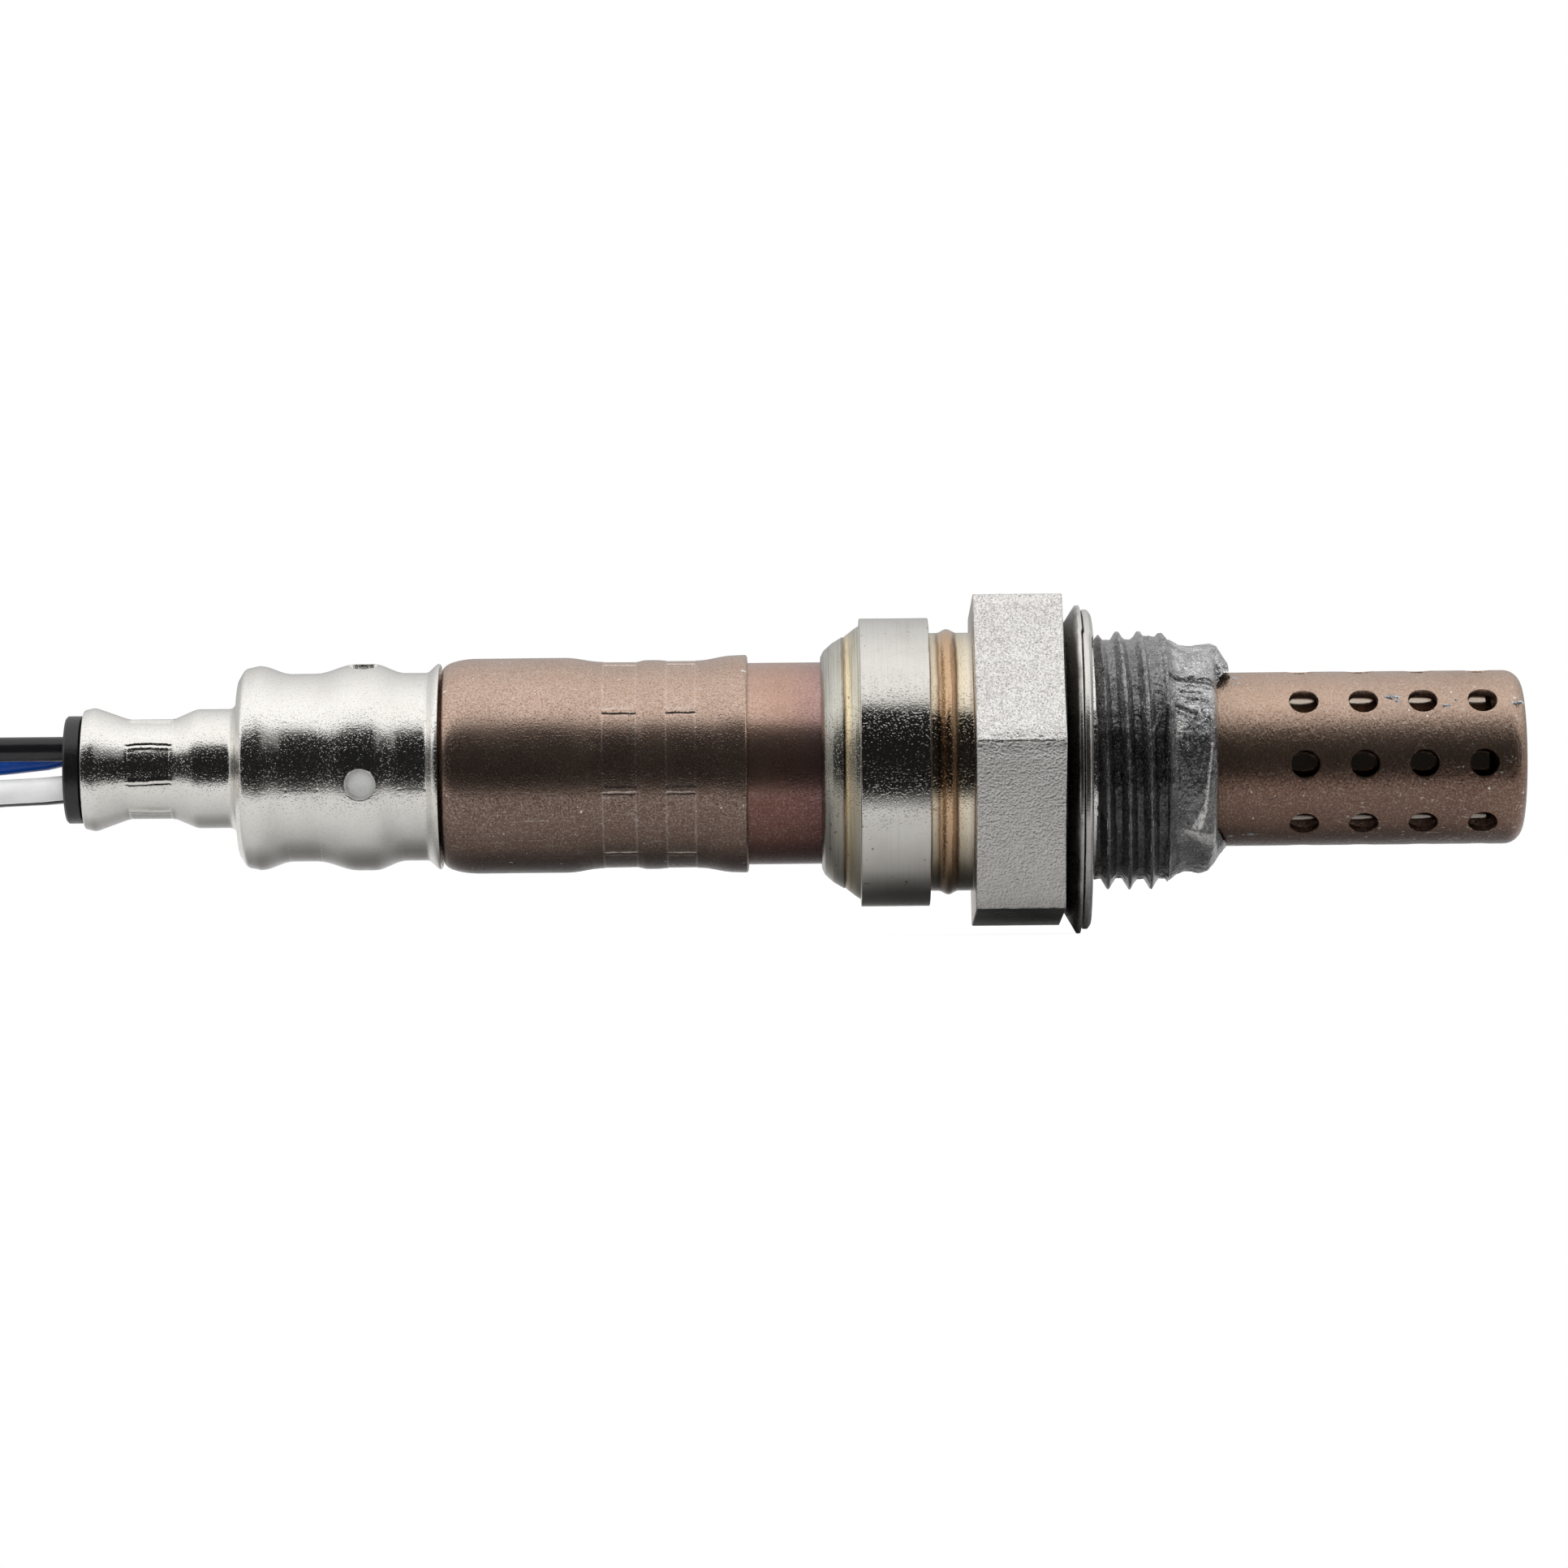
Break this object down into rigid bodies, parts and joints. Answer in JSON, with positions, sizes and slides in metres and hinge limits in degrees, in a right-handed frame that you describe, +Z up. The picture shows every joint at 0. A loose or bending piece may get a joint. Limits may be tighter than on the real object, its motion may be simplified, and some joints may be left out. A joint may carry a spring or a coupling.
{
  "type": "oxygen sensor",
  "caption": "Heated exhaust oxygen sensor with threaded hexagon housing, captive gasket, perforated protector, crimped brown cases, vented filter cover and a sleeved harness with connector.",
  "frame": {"origin": "on the thread's axis, in the plane of the gasket's sealing face", "axes": "+X runs along the sensor's axis towards the tip of the protector, +Z is up as the picture shows it, -Y faces the viewer"},
  "size_m": [0.2598, 0.0407, 0.0237],
  "materials": {
    "housing_steel": "turned and blasted steel, heat-tinted in the groove and on the lip",
    "gasket_steel": "folded stainless sheet, lightly worn",
    "protector_steel": "drawn stainless sheet with a brown heat tint",
    "upper_case_steel": "drawn stainless sheet, brown oxide, satin",
    "lower_case_steel": "drawn stainless sheet, reddish-brown oxide, satin",
    "cover_steel": "bright drawn stainless sheet",
    "filter_white": "porous white fluoropolymer",
    "grommet_rubber": "matt dark rubber",
    "ceramic": "fired, unglazed",
    "talc": "pressed powder",
    "inner_metal": "stamped sheet",
    "lead_black": "smooth glossy insulation",
    "lead_blue": "smooth glossy insulation",
    "lead_white": "smooth glossy insulation",
    "sleeve_weave": "woven glass-fibre sleeve, impregnated",
    "shrink_black": "shrunk tube",
    "connector_grey": "moulded, fine texture",
    "connector_lock": "moulded",
    "seal_silicone": "moulded silicone",
    "socket_metal": "tinned"
  },
  "bodies": {
    "root": {"housing": "housing_steel", "gasket": "gasket_steel", "outer_protector": "protector_steel", "inner_protector": "protector_steel", "packing_washer": "inner_metal", "sensing_element": "ceramic", "powder_seal": "talc", "insulating_ring": "ceramic", "clamping_ring": "inner_metal", "lower_case": "lower_case_steel", "upper_case": "upper_case_steel", "filter_cover": "cover_steel", "vent_filter": "filter_white", "grommet": "grommet_rubber", "heater_rod": "ceramic", "terminal_insulator": "ceramic", "disc_spring": "inner_metal", "outer_contact": "inner_metal", "inner_contact": "inner_metal", "heater_contact_1": "inner_metal", "heater_contact_2": "inner_metal", "lead_black_1": "lead_black", "lead_blue": "lead_blue", "lead_black_2": "lead_black", "lead_white": "lead_white", "shrink_band": "shrink_black", "sleeve_run": "sleeve_weave", "sleeve_hank": "sleeve_weave", "sleeve_tail": "sleeve_weave", "hank_tie": "shrink_black", "connector_shell": "connector_grey", "connector_cover": "connector_grey", "connector_seal": "seal_silicone", "connector_lock": "connector_lock", "socket_1": "socket_metal", "socket_2": "socket_metal", "socket_3": "socket_metal", "socket_4": "socket_metal"}
  },
  "joints": []
}
